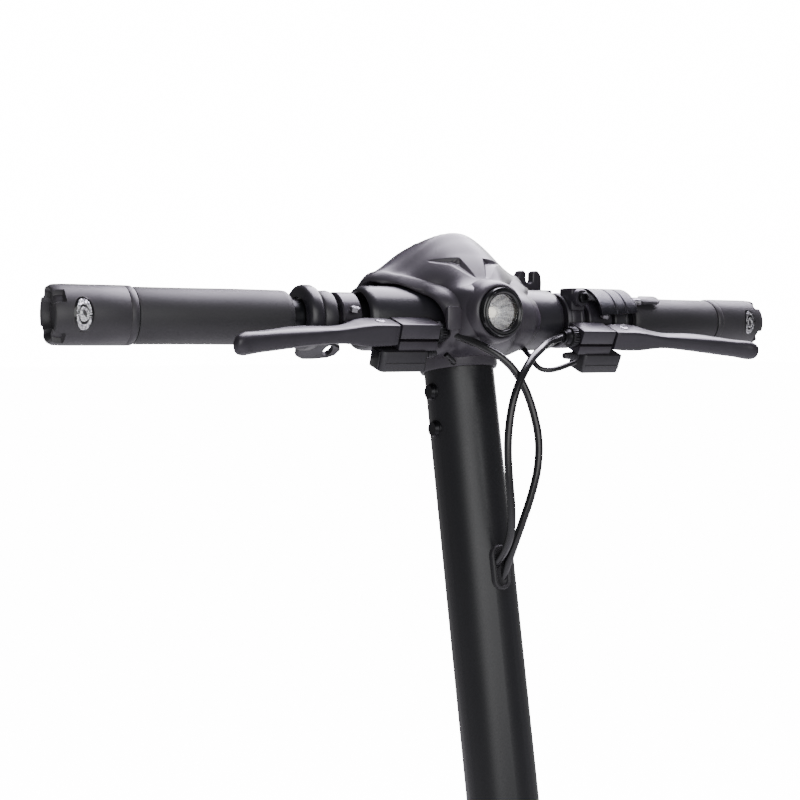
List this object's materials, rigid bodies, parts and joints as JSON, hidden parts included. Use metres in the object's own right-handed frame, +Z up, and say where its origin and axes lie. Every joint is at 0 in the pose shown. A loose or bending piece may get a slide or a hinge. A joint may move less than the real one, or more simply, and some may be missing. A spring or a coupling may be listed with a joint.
{
  "type": "electric kick scooter",
  "caption": "Folding electric kick scooter with hooded display cockpit, headlight, long brake levers, ring bell, round stem and two pneumatic wheels.",
  "frame": {"origin": "on the ground under the middle of the whole scooter's box", "axes": "+X to the rider's left, -Y to the front, +Z up; the handlebar lies along X"},
  "size_m": [0.5374, 1.1634, 1.1857],
  "materials": {
    "satin_black_alloy": "satin black paint over aluminium",
    "grey_cast_alloy": "satin dark grey paint over cast alloy",
    "grip_rubber": "matte",
    "charcoal_plastic": "fine-grained satin moulding",
    "gloss_black_plastic": "glossy",
    "clear_lens": "clear moulded",
    "mirror_reflector": "vacuum metallised",
    "smoked_glass": "dark display window",
    "circuit_board": "solder-resist lacquer",
    "bright_steel": "zinc-plated",
    "bearing_steel": "ground",
    "cable_jacket": "extruded plastic jacket",
    "tyre_rubber": "matte",
    "wheel_alloy": "satin black paint over cast aluminium",
    "disc_steel": "ground",
    "deck_rubber": "ribbed matte",
    "battery_wrap": "shrink sleeve",
    "controller_alloy": "extruded",
    "red_lens": "clear red moulding",
    "black_bell_alloy": "satin black paint"
  },
  "bodies": {
    "deck": {"deck_frame": "satin_black_alloy", "head_neck": "satin_black_alloy", "deck_mat": "deck_rubber", "deck_belly_plate": "satin_black_alloy", "deck_screws": "bright_steel", "battery_pack": "battery_wrap", "motor_controller": "controller_alloy", "charge_port": "gloss_black_plastic", "rear_dropouts": "grey_cast_alloy", "rear_axle": "bright_steel", "rear_caliper": "grey_cast_alloy", "rear_brake_cable": "cable_jacket", "rear_fender": "charcoal_plastic", "tail_light": "red_lens", "headset_bearings": "bearing_steel"},
    "steering": {"fork": "satin_black_alloy", "front_axle": "bright_steel", "front_brake_plate": "grey_cast_alloy", "front_brake_cable": "cable_jacket", "front_fender": "charcoal_plastic", "hinge_base": "grey_cast_alloy"},
    "front_wheel": {"front_tyre": "tyre_rubber", "front_rim": "wheel_alloy"},
    "rear_wheel": {"rear_tyre": "tyre_rubber", "rear_hub_motor": "wheel_alloy", "rear_brake_disc": "disc_steel"},
    "stem": {"stem_foot": "grey_cast_alloy", "stem_tube": "satin_black_alloy", "bar_clamp_head": "grey_cast_alloy", "handlebar_tube": "satin_black_alloy", "head_shell": "charcoal_plastic", "display_hood": "charcoal_plastic", "display_screen": "smoked_glass", "display_board": "circuit_board", "headlight_bezel": "gloss_black_plastic", "headlight_reflector": "mirror_reflector", "headlight_lens": "clear_lens", "shell_sleeves": "charcoal_plastic", "grips": "grip_rubber", "end_caps": "charcoal_plastic", "indicator_lenses": "clear_lens", "brake_bracket_right": "grey_cast_alloy", "brake_bracket_left": "grey_cast_alloy", "brake_switches": "gloss_black_plastic", "cockpit_cables": "cable_jacket", "cable_grommet": "grip_rubber", "throttle_housing": "charcoal_plastic", "bell_base": "gloss_black_plastic", "bell_chime": "black_bell_alloy", "hook_clamp": "grey_cast_alloy", "stem_fasteners": "bright_steel"},
    "lever_right": {"brake_lever_right": "grey_cast_alloy"},
    "lever_left": {"brake_lever_left": "grey_cast_alloy"},
    "throttle": {"throttle_paddle": "charcoal_plastic"},
    "striker": {"bell_striker": "charcoal_plastic"},
    "power_button": {"mode_button": "gloss_black_plastic"},
    "latch": {"latch_lever": "grey_cast_alloy"},
    "stand": {"kickstand": "satin_black_alloy"},
    "drum_arm": {"front_brake_arm": "bright_steel"},
    "caliper_arm": {"rear_caliper_arm": "bright_steel"}
  },
  "joints": [
    {"name": "steering_turn", "type": "hinge", "parent": "deck", "child": "steering", "pos_m": [0, -0.40651, 0.3434], "axis": [0, 0.1822, 0.9833], "range_deg": [-45, 45]},
    {"name": "stem_fold", "type": "hinge", "parent": "steering", "child": "stem", "pos_m": [0, -0.35201, 0.4289], "axis": [-1, 0, 0], "range_deg": [0, 85]},
    {"name": "front_wheel_spin", "type": "hinge", "parent": "steering", "child": "front_wheel", "pos_m": [0, -0.45475, 0.127], "axis": [1, 0, 0], "continuous": true},
    {"name": "rear_wheel_spin", "type": "hinge", "parent": "deck", "child": "rear_wheel", "pos_m": [0, 0.44525, 0.127], "axis": [1, 0, 0], "continuous": true},
    {"name": "brake_pull_right", "type": "hinge", "parent": "stem", "child": "lever_right", "pos_m": [-0.076, -0.29188, 1.12128], "axis": [0, 0.3007, -0.9537], "range_deg": [0, 13], "stiffness_Nm_per_rad": 0.6, "springref_deg": -8.59},
    {"name": "brake_pull_left", "type": "hinge", "parent": "stem", "child": "lever_left", "pos_m": [0.118, -0.29091, 1.11867], "axis": [0, -0.3907, 0.9205], "range_deg": [0, 13], "stiffness_Nm_per_rad": 0.6, "springref_deg": -8.59},
    {"name": "drum_arm_pull", "type": "hinge", "parent": "steering", "child": "drum_arm", "pos_m": [0.0413, -0.45475, 0.161], "axis": [1, 0, 0], "range_deg": [0, 10.4]},
    {"name": "caliper_arm_pull", "type": "hinge", "parent": "deck", "child": "caliper_arm", "pos_m": [0.0534, 0.38009, 0.14614], "axis": [1, 0, 0], "range_deg": [0, 10.4]},
    {"name": "throttle_press", "type": "hinge", "parent": "stem", "child": "throttle", "pos_m": [-0.101, -0.26422, 1.13], "axis": [-1, 0, 0], "range_deg": [0, 30], "stiffness_Nm_per_rad": 0.15, "springref_deg": -11.46},
    {"name": "striker_flick", "type": "hinge", "parent": "stem", "child": "striker", "pos_m": [0.14, -0.26422, 1.13], "axis": [1, 0, 0], "range_deg": [0, 14], "stiffness_Nm_per_rad": 0.05, "springref_deg": -17.19},
    {"name": "power_button_press", "type": "slide", "parent": "stem", "child": "power_button", "axis": [0, -0.6428, -0.766], "range_m": [0, 0.0012], "stiffness_N_per_m": 800, "springref_m": -0.0005},
    {"name": "latch_open", "type": "hinge", "parent": "stem", "child": "latch", "pos_m": [0, -0.41858, 0.47581], "axis": [-1, 0, 0], "range_deg": [0, 25]},
    {"name": "stand_fold", "type": "hinge", "parent": "deck", "child": "stand", "pos_m": [0.074, 0.06, 0.088], "axis": [1, 0, 0], "range_deg": [0, 88], "stiffness_Nm_per_rad": 0.3, "springref_deg": -34.38}
  ],
  "couplings": [
    {"joint": "drum_arm_pull", "follows": "brake_pull_right", "ratio": 0.8},
    {"joint": "caliper_arm_pull", "follows": "brake_pull_left", "ratio": 0.8}
  ]
}
